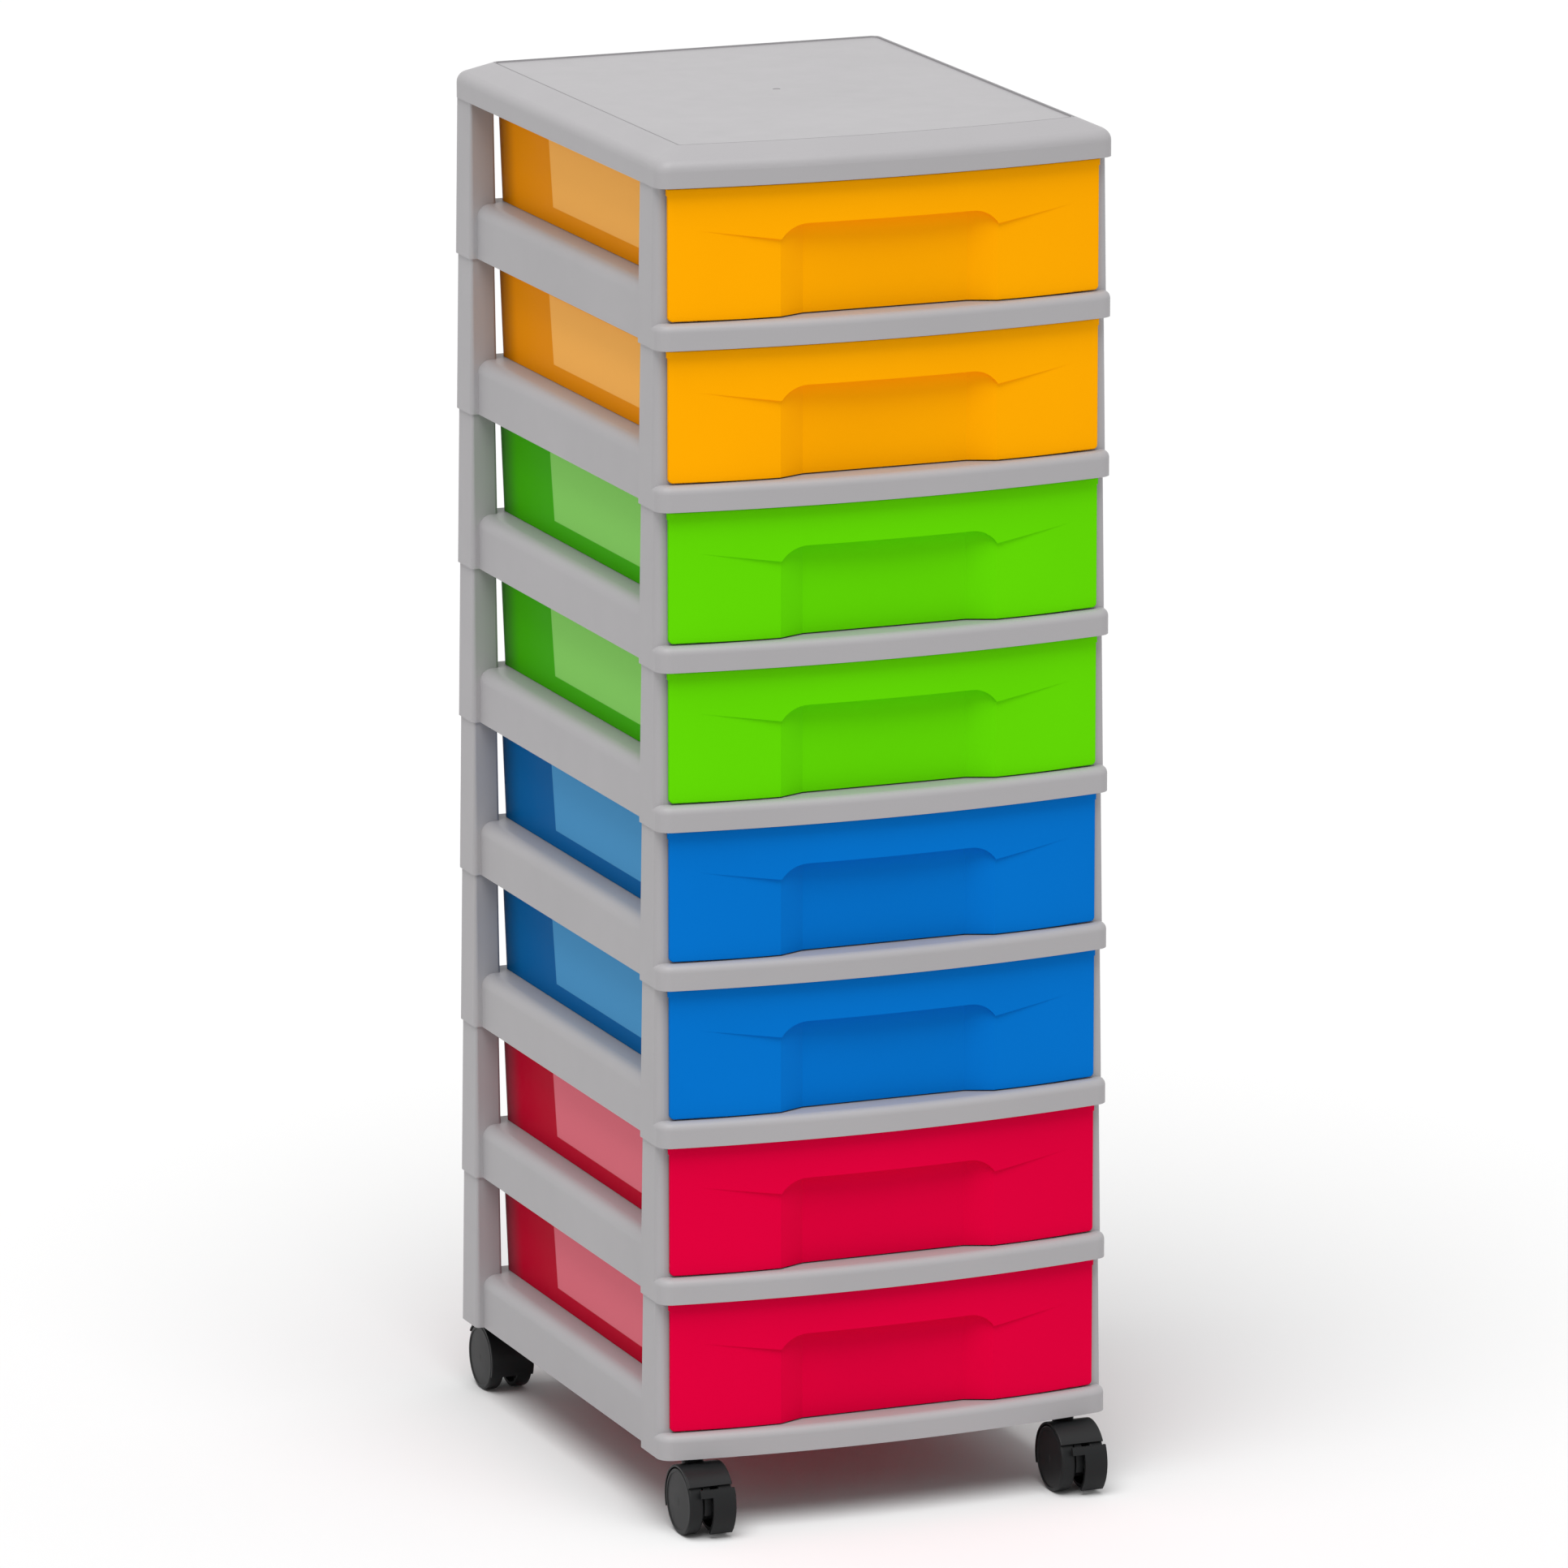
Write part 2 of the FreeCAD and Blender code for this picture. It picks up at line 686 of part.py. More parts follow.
def hollows(body):
    """The space inside the tub, behind the bowed front and under the tub's front end."""
    inner_half = f"({TUB_HALF} - size.tub_wall)"
    inner_back = f"({TUB_BACK} - size.tub_wall)"
    rounding = "size.tub_corner_round - size.tub_wall"
    sketch = new_sketch(body, "tub_core", offset=RIM_TOP)
    outline(sketch, [
        (f"-{inner_half}", "-size.front_gap"),
        (inner_half, "-size.front_gap"),
        (inner_half, inner_back, rounding),
        (f"-{inner_half}", inner_back, rounding),
    ])
    pocket(body, "tub_hollow", sketch, f"{RIM_TOP} - {TUB_BASE} - size.tub_wall",
           taper=f"-{TUB_TAPER}")
    skin_lead = "-size.front_wall"
    sketch = new_sketch(body, "front_core", offset=FRONT_TOP)
    bowed_plate(sketch, f"{TUB_HALF} - size.tub_draft - size.tub_wall", skin_lead,
                "size.overrun")
    pocket(body, "front_hollow", sketch, f"{FRONT_TOP} - {TUB_BASE} - size.tub_wall")
    sketch = new_sketch(body, "skirt_core", offset="size.front_base")
    bowed_plate(sketch, f"{FRONT_HALF} - size.front_wall", skin_lead, "size.overrun")
    pocket(body, "skirt_hollow", sketch, f"{TUB_BASE} - size.front_base", upward=True)


def grip_backing(body):
    """The skin behind the grip recess and the wings."""
    wing_back = f"{bow_y(WING_HALF, '0')} + size.front_wall"
    skin_lead = "-size.front_wall / 2"
    start = bow_y(WING_HALF, skin_lead)
    aside = "size.front_wall / 2"
    sketch = new_sketch(body, "backing_plan", offset="size.front_base")
    outline(sketch, [
        (f"-{WING_HALF}", start),
        (f"-{WING_HALF}", wing_back),
        (f"-(size.brow_end_half + {aside})", f"{WING_Y} + size.front_wall"),
        (f"-(size.brow_half + {aside})", "-size.front_gap"),
        (f"size.brow_half + {aside}", "-size.front_gap"),
        (f"size.brow_end_half + {aside}", f"{WING_Y} + size.front_wall"),
        (WING_HALF, wing_back),
        (WING_HALF, start),
    ], {7: (f"{BOW_RADIUS} + {skin_lead}", "right")})
    pad(body, "backing", sketch,
        "size.front_height - size.brow_drop + size.front_wall")


def build_drawer():
    body = new_body("drawer_moulding")
    drawer_front(body)
    tub(body)
    hollows(body)
    grip_backing(body)
    tool = grip_tool()
    before = body.Tip.Shape.Volume
    cut = body.newObject("PartDesign::Boolean", "grip")
    cut.Type = "Cut"
    cut.setObjects([tool])
    document.recompute()
    if cut.Shape.Volume >= before:
        raise RuntimeError("the grip cuts nothing")
    return body


# Cover

# The cover's rim slopes from the land round its panel down to the shoulder of its side wall.
RIM_FALL = "((size.cover_height - size.cover_shoulder) / (size.panel_inset - size.panel_land))"
ROOF = "(size.cover_height - size.panel_depth - size.cover_wall)"
INNER_SHOULDER = (f"(size.cover_shoulder + {RIM_FALL} * size.cover_wall"
                  f" - size.cover_wall * sqrt(1 + {RIM_FALL} ^ 2))")
ROOF_INSET = f"(size.cover_wall + ({ROOF} - {INNER_SHOULDER}) / {RIM_FALL})"


def cover_outline(sketch, inset, rounding):
    rounded_plate(sketch, f"({HALF} - {inset})", f"(size.rail_lead - {inset})",
                  f"(size.tower_depth - {inset})", rounding)


def build_cover():
    """Shallow shell: an upright wall, a sloped rim and a panel let into the top."""
    body = new_body("top_cover")
    sketch = new_sketch(body, "wall_outline")
    cover_outline(sketch, "0", "size.corner_round")
    pad(body, "wall", sketch, "size.cover_shoulder")
    shoulder = new_sketch(body, "shoulder_outline", offset="size.cover_shoulder")
    cover_outline(shoulder, "0", "size.corner_round")
    land = new_sketch(body, "land_outline", offset="size.cover_height")
    land_inset = "(size.panel_inset - size.panel_land)"
    cover_outline(land, land_inset, "(size.panel_round + size.panel_land)")
    loft(body, "rim", "Additive", shoulder, land)
    high = value("size.cover_shoulder")
    round_edges(body, "shoulder_edge", "size.shoulder_round", lambda box: at_height(box, high))
    sketch = new_sketch(body, "wall_core")
    inner_round = "(size.corner_round - size.cover_wall)"
    cover_outline(sketch, "size.cover_wall", inner_round)
    pocket(body, "wall_hollow", sketch, INNER_SHOULDER, upward=True)
    shoulder = new_sketch(body, "inner_shoulder_outline", offset=INNER_SHOULDER)
    cover_outline(shoulder, "size.cover_wall", inner_round)
    roof = new_sketch(body, "roof_outline", offset=ROOF)
    cover_outline(roof, ROOF_INSET, "size.panel_round")
    loft(body, "rim_hollow", "Subtractive", shoulder, roof)
    low = value(INNER_SHOULDER)
    round_edges(body, "inner_shoulder_edge", "size.shoulder_round - size.cover_wall",
                lambda box: at_height(box, low))
    sketch = new_sketch(body, "panel_outline", offset="size.cover_height")
    cover_outline(sketch, "size.panel_inset", "size.panel_round")
    pocket(body, "panel", sketch, "size.panel_depth")
    sketch = new_sketch(body, "gate_outline", offset="size.cover_height - size.panel_depth")
    circle(sketch, "0", "size.tower_depth / 2", "size.gate_diameter / 2")
    pocket(body, "gate_mark", sketch, "size.gate_depth")
    sketch = new_sketch(body, "rib_outlines", offset=f"{ROOF} - size.rib_height")
    rib_x = f"({HALF} - size.panel_inset - size.rib_wall)"
    for side in (-1, 1):
        rectangle(sketch, f"{side} * ({rib_x} - size.rib_wall)", f"{side} * {rib_x}",
                  "size.panel_inset", "size.tower_depth - size.panel_inset")
    pad(body, "ribs", sketch, "size.rib_height + size.cover_wall / 2")
    return body


# Castor, drawn about its stem with the wheels trailing to the front

def polar(radius, angle):
    """Place in the castor's side view, at an angle above the line from the axle to the front."""
    return (f"-size.trail - {radius} * cos({angle})",
            f"{WHEEL_RADIUS} + {radius} * sin({angle})")


AXLE = ("-size.trail", WHEEL_RADIUS)


def sector(sketch, radius, low, high):
    """Slice of a disc about the axle, going up from the low angle to the high one."""
    outline(sketch, [AXLE, polar(radius, low), polar(radius, high)], {1: (radius, "right")})


def build_wheel():
    """One wheel about its own axis: a closed outer disc, a rim, a hub and ribs between them."""
    body = new_body("wheel_moulding")
    rim_inner = f"({WHEEL_RADIUS} - size.rim_depth)"
    hub_x = "(size.core_width / 2 + size.hub_gap)"
    bore = "(size.axle_diameter / 2 + size.axle_running_fit)"
    hub = "size.hub_diameter / 2"
    band = f"({WHEEL_RADIUS} - size.disc_band)"
    dish = f"({band} - size.disc_step)"
    dome = f"({dish} ^ 2 + size.disc_step ^ 2) / (2 * size.disc_step)"
    sketch = new_sketch(body, "wheel_section", "XZ_Plane")
    outline(sketch, [
        (hub_x, bore),
        (hub_x, hub),
        (DISC_X, hub),
        (DISC_X, rim_inner),
        (WHEEL_INNER_X, rim_inner),
        (WHEEL_INNER_X, WHEEL_RADIUS, "size.tread_round"),
        (WHEEL_OUTER_X, WHEEL_RADIUS, "size.tread_round"),
        (WHEEL_OUTER_X, band),
        (f"{WHEEL_OUTER_X} - size.disc_step", dish),
        (WHEEL_OUTER_X, "0"),
        (DISC_X, "0"),
        (DISC_X, bore),
    ], {8: (dome, "right")})
    revolved(body, "wheel", sketch, "H_Axis")
    sketch = new_sketch(body, "rib_section", "YZ_Plane", f"{DISC_X} - size.wheel_rib_depth")
    rib_half = "size.wheel_rib_wall / 2"
    rectangle(sketch, f"-{rib_half}", rib_half, f"{hub} - size.wheel_rib_lap",
              f"{rim_inner} + size.wheel_rib_lap")
    rib = pad(body, "rib", sketch, "size.wheel_rib_depth + size.disc_wall / 2")
    pattern = body.newObject("PartDesign::PolarPattern", "ribs")
    pattern.Originals = [rib]
    pattern.Axis = (sketch, ["N_Axis"])
    pattern.Angle = 360
    pattern.Occurrences = WHEEL_RIBS
    body.Tip = pattern
    document.recompute()
    return body


def build_hood():
    """Fender, web and neck of a castor, with the bores for its stem and its axle."""
    body = new_body("hood_moulding")
    sketch = new_sketch(body, "fender_side", "YZ_Plane")
    sector(sketch, HOOD_OUTER, "size.hood_front_angle", "size.hood_back_angle")
    pad(body, "fender", sketch, f"2 * {WHEEL_OUTER_X}", side="Symmetric")
    sketch = new_sketch(body, "neck_outline", offset=WHEEL_RADIUS)
    circle(sketch, "0", "0", "size.neck_diameter / 2")
    pad(body, "neck", sketch, f"size.castor_height - size.neck_gap - {WHEEL_RADIUS}")
    half_web = "size.web_width / 2"
    for side, side_name in ((-1, "left"), (1, "right")):
        sketch = new_sketch(body, f"{side_name}_wheel_space", "YZ_Plane", f"{side} * {half_web}")
        circle(sketch, AXLE[0], AXLE[1], HOOD_INNER)
        pocket(body, f"{side_name}_wheel_hollow", sketch,
               f"{WHEEL_OUTER_X} + size.overrun", upward=side > 0)
    outer = value(WHEEL_OUTER_X)
    radius = value(HOOD_OUTER)
    centre_y = value(AXLE[0])
    centre_z = value(AXLE[1])

    def fender_rim(box):
        if not (box.XLength < NEAR and same(abs(box.XMax), outer)):
            return False
        return same(box.ZMax, centre_z + radius) and box.YMax > centre_y

    round_edges(body, "fender_edges", "size.hood_edge_round", fender_rim)
    sketch = new_sketch(body, "core_side", "YZ_Plane")
    circle(sketch, AXLE[0], AXLE[1], "size.core_diameter / 2")
    pad(body, "core", sketch, "size.core_width", side="Symmetric")
    sketch = new_sketch(body, "stem_bore_outline", offset="size.stem_base")
    circle(sketch, "0", "0", "size.stem_diameter / 2 + size.stem_fit")
    pocket(body, "stem_bore", sketch, "size.castor_height", upward=True)
    sketch = new_sketch(body, "axle_bore_outline", "YZ_Plane")
    circle(sketch, AXLE[0], AXLE[1], "size.axle_diameter / 2 + size.axle_fit")
    pocket(body, "axle_bore", sketch, f"2 * {WHEEL_OUTER_X}", side="Symmetric")
    return body


def add_lever_lug(body):
    """Half thick lug in front of the axle, with the pin that the brake lever turns on."""
    sketch = new_sketch(body, "lug_side", "YZ_Plane", "-size.web_width / 2")
    sector(sketch, "size.lug_radius", "-size.lug_low_angle",
           "size.hood_front_angle + size.lug_low_angle")
    pad(body, "lug", sketch, "size.web_width / 2")
    sketch = new_sketch(body, "lug_bore_outline", "YZ_Plane")
    circle(sketch, AXLE[0], AXLE[1], "size.axle_diameter / 2 + size.axle_fit")
    pocket(body, "lug_bore", sketch, f"2 * {WHEEL_OUTER_X}", side="Symmetric")
    sketch = new_sketch(body, "lever_pin_outline", "YZ_Plane", "-size.web_width / 4")
    circle(sketch, "-size.trail - size.lever_reach", WHEEL_RADIUS, "size.lever_pin_diameter / 2")
    pad(body, "lever_pin", sketch,
        "size.web_width / 4 + size.lever_side_gap + size.lever_arm_width")


def build_lever():
    """Brake lever: a curved plate ahead of the right wheel on an arm between the wheels."""
    body = new_body("lever_moulding")
    low = "-size.lever_bottom_angle"
    high = "size.lever_top_angle"
    sketch = new_sketch(body, "plate_side", "YZ_Plane", "-size.lever_side_lap")
    outline(sketch, [
        polar(LEVER_OUTER, low),
        polar(LEVER_OUTER, high),
        polar(LEVER_INNER, high),
        polar(LEVER_INNER, low),
    ], {0: (LEVER_OUTER, "right"), 2: (LEVER_INNER, "left")})
    pad(body, "plate", sketch, f"size.lever_side_lap + {WHEEL_OUTER_X}")
    sketch = new_sketch(body, "lip_side", "YZ_Plane", "-size.lever_lip_reach")
    outline(sketch, [
        polar(LEVER_OUTER, "size.lever_lip_angle"),
        polar(LEVER_OUTER, high),
        polar(LEVER_INNER, high),
        polar(LEVER_INNER, "size.lever_lip_angle"),
    ], {0: (LEVER_OUTER, "right"), 2: (LEVER_INNER, "left")})
    pad(body, "lip", sketch, "size.lever_lip_reach")
    pivot_y = "-size.trail - size.lever_reach"
    sketch = new_sketch(body, "arm_side", "YZ_Plane", "size.lever_side_gap")
    rectangle(sketch, f"-size.trail - {LEVER_INNER} - size.lever_wall / 2", pivot_y,
              f"{WHEEL_RADIUS} - size.lever_arm_height / 2",
              f"{WHEEL_RADIUS} + size.lever_arm_height / 2")
    pad(body, "arm", sketch, "size.lever_arm_width")
    sketch = new_sketch(body, "boss_side", "YZ_Plane", "size.lever_side_gap")
    circle(sketch, pivot_y, WHEEL_RADIUS, "size.lever_boss_diameter / 2")
    pad(body, "boss", sketch, "size.lever_arm_width")
    sketch = new_sketch(body, "lever_bore_side", "YZ_Plane", "-size.lever_side_lap")
    circle(sketch, pivot_y, WHEEL_RADIUS, "size.lever_pin_diameter / 2 + size.axle_running_fit")
    pocket(body, "lever_bore", sketch, f"size.lever_side_lap + {WHEEL_OUTER_X}", upward=True)
    edge_y, edge_z = polar(f"({LEVER_OUTER} - size.ridge_diameter / 4)", high)
    sketch = new_sketch(body, "ridge_outlines", offset=f"{edge_z} - size.ridge_length")
    pitch = f"({WHEEL_OUTER_X} + size.lever_lip_reach) / {GRIP_RIDGES}"
    for index in range(GRIP_RIDGES):
        circle(sketch, f"-size.lever_lip_reach + {pitch} * {index + 0.5}", edge_y,
               "size.ridge_diameter / 2")
    pad(body, "ridges", sketch, "size.ridge_length")
    return body


def build_axle():
    body = new_body("axle_pin")
    sketch = new_sketch(body, "axle_outline", "YZ_Plane")
    circle(sketch, "0", "0", "size.axle_diameter / 2")
    pad(body, "axle", sketch, f"2 * ({DISC_X} - size.axle_end_gap)", side="Symmetric")
    return body


def build_stem():
    """Steel stem with chamfered ends and a groove near its top."""
    body = new_body("stem_pin")
    radius = "size.stem_diameter / 2"
    chamfered = f"{radius} - size.stem_chamfer"
    grooved = f"{radius} - size.stem_groove_depth"
    low = "(size.stem_base + size.stem_end_gap)"
    high = "(size.castor_height + size.socket_depth)"
    sketch = new_sketch(body, "stem_section", "XZ_Plane")
    outline(sketch, [
        ("0", low),
        (chamfered, low),
        (radius, f"{low} + size.stem_chamfer"),
        (radius, f"{high} - size.stem_groove_drop"),
        (grooved, f"{high} - size.stem_groove_drop"),
        (grooved, f"{high} - size.stem_groove_drop + size.stem_groove_width"),
        (radius, f"{high} - size.stem_groove_drop + size.stem_groove_width"),
        (radius, f"{high} - size.stem_chamfer"),
        (chamfered, high),
        ("0", high),
    ])
    revolved(body, "stem", sketch, "V_Axis")
    return body


# Assembly

parts = []

cover = place(build_cover(), "0", SHIFT, f"size.castor_height + {TIERS} * size.tier_pitch")
parts.append(cover)

frame = build_frame()
drawer = build_drawer()
for tier in range(1, TIERS + 1):
    floor = f"size.castor_height + {TIERS - tier} * size.tier_pitch"
    parts.append(place(copy_of(frame, f"frame_{tier}"), "0", SHIFT, floor))
    parts.append(place(copy_of(drawer, f"drawer_{tier}"), "0", SHIFT, floor))

stem = build_stem()
axle = build_axle()
wheel = build_wheel()
hood = build_hood()
braked_hood = copy_of(hood, "braked_hood_moulding")
document.recompute()
add_lever_lug(braked_hood)
lever = build_lever()
for end_name, stem_y, turned in (("front", FRONT_STEM_Y, False), ("rear", REAR_STEM_Y, True)):
    y = f"{SHIFT} + {stem_y}"
    wheel_y = f"{y} + size.trail" if turned else f"{y} - size.trail"
    for side, side_name in ((-1, "left"), (1, "right")):
        x = f"{side} * {STEM_X}"
        name = f"{end_name}_{side_name}_castor"
        hood_source = hood if turned else braked_hood
        parts.append(place(copy_of(stem, f"{name}_stem"), x, y, "0"))
        parts.append(place(copy_of(hood_source, f"{name}_hood"), x, y, "0", turned))
        parts.append(place(copy_of(axle, f"{name}_axle"), x, wheel_y, WHEEL_RADIUS))
        parts.append(place(copy_of(wheel, f"{name}_left_wheel"), x, wheel_y, WHEEL_RADIUS, True))
        parts.append(place(copy_of(wheel, f"{name}_right_wheel"), x, wheel_y, WHEEL_RADIUS))
        if not turned:
            parts.append(place(copy_of(lever, f"{name}_brake_lever"), x, y, "0"))

document.recompute()

for item in document.Objects:
    if "Invalid" in item.State or "Error" in item.State:
        raise RuntimeError(f"{item.Name} failed: {item.State}")
for part in parts:
    if part.Shape.isNull() or not part.Shape.isValid():
        raise RuntimeError(f"{part.Label} has no valid shape")

os.makedirs("parts", exist_ok=True)
for part in parts:
    part.Shape.exportStep(f"parts/{part.Label}.step")
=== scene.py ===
import json
import math

import bpy
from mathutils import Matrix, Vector

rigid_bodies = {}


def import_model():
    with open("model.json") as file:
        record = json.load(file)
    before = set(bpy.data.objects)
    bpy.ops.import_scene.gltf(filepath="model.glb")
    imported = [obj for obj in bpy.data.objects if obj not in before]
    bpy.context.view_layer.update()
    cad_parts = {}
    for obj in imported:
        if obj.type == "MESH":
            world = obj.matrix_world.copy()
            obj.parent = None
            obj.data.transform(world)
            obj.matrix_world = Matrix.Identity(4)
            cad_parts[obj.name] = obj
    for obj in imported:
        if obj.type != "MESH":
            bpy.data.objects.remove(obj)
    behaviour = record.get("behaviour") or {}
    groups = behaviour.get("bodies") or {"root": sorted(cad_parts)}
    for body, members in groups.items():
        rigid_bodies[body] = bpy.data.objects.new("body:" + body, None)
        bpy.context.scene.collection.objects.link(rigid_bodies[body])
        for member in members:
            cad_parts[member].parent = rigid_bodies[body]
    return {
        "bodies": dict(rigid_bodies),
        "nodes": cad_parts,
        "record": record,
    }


# Materials, stage, light and camera round the solids of the drawer tower.
# Lengths are in metres and noise scales in cells per metre.

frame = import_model()

# Blender's own start-up objects aren't part of the scene.
loaded = set(frame["nodes"].values()) | set(frame["bodies"].values())
for item in list(bpy.data.objects):
    if item not in loaded:
        bpy.data.objects.remove(item)
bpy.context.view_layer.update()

# Camera, as fitted to the photograph
CAMERA_AZIMUTH = math.radians(22.01)
CAMERA_ELEVATION = math.radians(13.27)
CAMERA_DISTANCE = 8.0
CAMERA_LENS = 272.6
CAMERA_SENSOR = 36.0
CAMERA_TARGET = Vector((0.0009, -0.0004, 0.4581))
CAMERA_NEAR = 0.1
CAMERA_FAR = 200.0

# Stage and light
FLOOR_HALF = 60.0
FLOOR_TONE = (0.80, 0.80, 0.80, 1.0)
FLOOR_LIFT = 1.01
FLOOR_CLOUD_SCALE = 0.6
FLOOR_ROUGHNESS = 0.9
WORLD_WHITE = (1.0, 1.0, 1.0, 1.0)
WORLD_LIGHT = 0.5
KEY_LIGHT = 0.83
KEY_AZIMUTH = math.radians(31)
KEY_ELEVATION = math.radians(68)
KEY_SOFTNESS = math.radians(50)
KEY_DISTANCE = 5.0

# Places on a tier, measured up from its own floor and back from its own front
TIER_PITCH = 0.107
TIER_BASE = 0.051
TIER_FRONT = -0.1756
TUB_FOOT = 0.0373
TUB_FOOT_HALF = 0.1344
TUB_DRAFT_SLOPE = 2.6 / 66.4
TUB_SKIN = 0.0011

# Matt panel on the outer side of each drawer, and behind it the painted shade of the rear posts
# on the side
PANEL_FRONT = 0.028
PANEL_REAR = 0.251
PANEL_REAR_LEAN = 0.07
PANEL_LOW = 0.0489
PANEL_HIGH = 0.097
PANEL_SOFTNESS = 0.0008
PANEL_ROUGHER = 0.3
REAR_SHADE_START = 0.316
REAR_SHADE_END = 0.341

# Edge of the cover's panel, where a thin line of painted shade runs: straight at the sides and
# the rear, bowed in front
EDGE_HALF = 0.139
EDGE_REAR = 0.1744
EDGE_BOW_CENTRE = 0.7391
EDGE_BOW_RADIUS = 0.9149
EDGE_HEIGHT = 0.93195
EDGE_LINE = 0.0012
EDGE_SOFTNESS = 0.0002

# Surface of the moulded plastics
FLOW_SCALE = 7.0
FLOW_DARKER = 0.94
FLOW_LIGHTER = 1.05
SPECK_SCALE = 900.0
SPECK_STRENGTH = 0.06
SPECK_DEPTH = 0.0002
WEAR_SCALE = 45.0
WEAR_SMOOTHER = 0.06
WEAR_ROUGHER = 0.08
ETCH_SCALE = 1400.0
ETCH_STRENGTH = 0.35
DRAWER_ROUGHNESS = 0.35
DRAWER_SPECK_STRENGTH = 0.03
DRAWER_SPECULAR = 0.01
GREY_ROUGHNESS = 0.42
GREY_SPECULAR = 0.25
BLACK_ROUGHNESS = 0.42
BLACK_SPECULAR = 0.2

# Surface of the steel pins
TURNED_STRETCH = (1.0, 1.0, 40.0)
TURNED_SCALE = 120.0
TURNED_DARKER = 0.8
TURNED_STRENGTH = 0.1
TURNED_DEPTH = 0.0001
STEEL_SMOOTHEST = 0.25
STEEL_ROUGHEST = 0.45


def linear(red, green, blue):
    """Colour as the shader needs it, from display values of 0 to 255."""
    parts = []
    for part in (red, green, blue):
        share = part / 255
        parts.append(share / 12.92 if share <= 0.04045 else ((share + 0.055) / 1.055) ** 2.4)
    return (*parts, 1.0)


def scaled(colour, factor):
    """Colour made lighter or darker by a factor, and never above 1."""
    return (*(min(part * factor, 1.0) for part in colour[:3]), 1.0)


def direction(azimuth, elevation):
    """Unit vector towards a place that lies to the left of the front and above."""
    return Vector((-math.sin(azimuth) * math.cos(elevation),
                   -math.cos(azimuth) * math.cos(elevation),
                   math.sin(elevation)))


def aimed(name, data, away, start, distance):
    """Camera or lamp that stands at a distance from start and looks back along away."""
    item = bpy.data.objects.new(name, data)
    item.location = start + away * distance
    item.rotation_euler = (-away).to_track_quat("-Z", "Y").to_euler()
    bpy.context.scene.collection.objects.link(item)
    return item


class Shade:
    """Node tree of one material, with short calls for the nodes that the scene uses."""

    def __init__(self, name):
        self.material = bpy.data.materials.new(name)
        self.material.use_nodes = True
        self.tree = self.material.node_tree
        self.inputs = self.tree.nodes["Principled BSDF"].inputs
        self.place = self.tree.nodes.new("ShaderNodeTexCoord").outputs["Object"]

    def join(self, source, target):
        """Connect an output to an input, or write a plain value into it."""
        if isinstance(source, bpy.types.NodeSocket):
            self.tree.links.new(source, target)
        else:
            target.default_value = source

    def source(self, name):
        """Output that now feeds one of the shader's inputs."""
        return self.inputs[name].links[0].from_socket

    def math(self, operation, first, second=0.0, third=0.0):
        """Result of a calculation with up to three values."""
        node = self.tree.nodes.new("ShaderNodeMath")
        node.operation = operation
        for value, target in zip((first, second, third), node.inputs):
            self.join(value, target)
        return node.outputs[0]

    def ramp(self, value, low, high, to_low=0.0, to_high=1.0, kind="SMOOTHSTEP"):
        """Step from to_low to to_high, as value goes from low to high."""
        node = self.tree.nodes.new("ShaderNodeMapRange")
        node.interpolation_type = kind
        for name, number in (("Value", value), ("From Min", low), ("From Max", high),
                             ("To Min", to_low), ("To Max", to_high)):
            self.join(number, node.inputs[name])
        return node.outputs["Result"]

    def stretched(self, value, low, high):
        """Value from 0 to 1 laid out evenly between low and high."""
        return self.ramp(value, 0.0, 1.0, low, high, "LINEAR")

    def noise(self, scale, detail=2.0, roughness=0.5, place=None):
        """Even noise from 0 to 1."""
        node = self.tree.nodes.new("ShaderNodeTexNoise")
        for name, value in (("Vector", place or self.place), ("Scale", scale),
                            ("Detail", detail), ("Roughness", roughness)):
            self.join(value, node.inputs[name])
        return node.outputs["Fac"]

    def mix(self, share, first, second):
        """Colour between two others. The Mix node's colours are its sockets 6, 7 and 2."""
        node = self.tree.nodes.new("ShaderNodeMix")
        node.data_type = "RGBA"
        self.join(share, node.inputs["Factor"])
        self.join(first, node.inputs[6])
        self.join(second, node.inputs[7])
        return node.outputs[2]

    def bump(self, height, strength, distance, normal=None):
        """Normal tilted by a height, on top of another normal if one is given."""
        node = self.tree.nodes.new("ShaderNodeBump")
        for name, value in (("Strength", strength), ("Distance", distance), ("Height", height)):
            self.join(value, node.inputs[name])
        if normal:
            self.join(normal, node.inputs["Normal"])
        return node.outputs["Normal"]

    def axes(self):
        """The place's x, y and z."""
        node = self.tree.nodes.new("ShaderNodeSeparateXYZ")
        self.join(self.place, node.inputs[0])
        return node.outputs


def moulded(name, colour, roughness, specular, speck_strength=SPECK_STRENGTH):
    """Injection moulded plastic: fine even grain, faint flow marks and slight wear."""
    shade = Shade(name)
    flow = shade.noise(FLOW_SCALE, 3.0)
    speck = shade.noise(SPECK_SCALE)
    wear = shade.noise(WEAR_SCALE, 4.0, 0.6)
    tone = shade.mix(flow, scaled(colour, FLOW_DARKER), scaled(colour, FLOW_LIGHTER))
    shade.join(tone, shade.inputs["Base Color"])
    worn = shade.stretched(wear, roughness - WEAR_SMOOTHER, roughness + WEAR_ROUGHER)
    shade.join(worn, shade.inputs["Roughness"])
    shade.inputs["Specular IOR Level"].default_value = specular
    shade.join(shade.bump(speck, speck_strength, SPECK_DEPTH), shade.inputs["Normal"])
    return shade


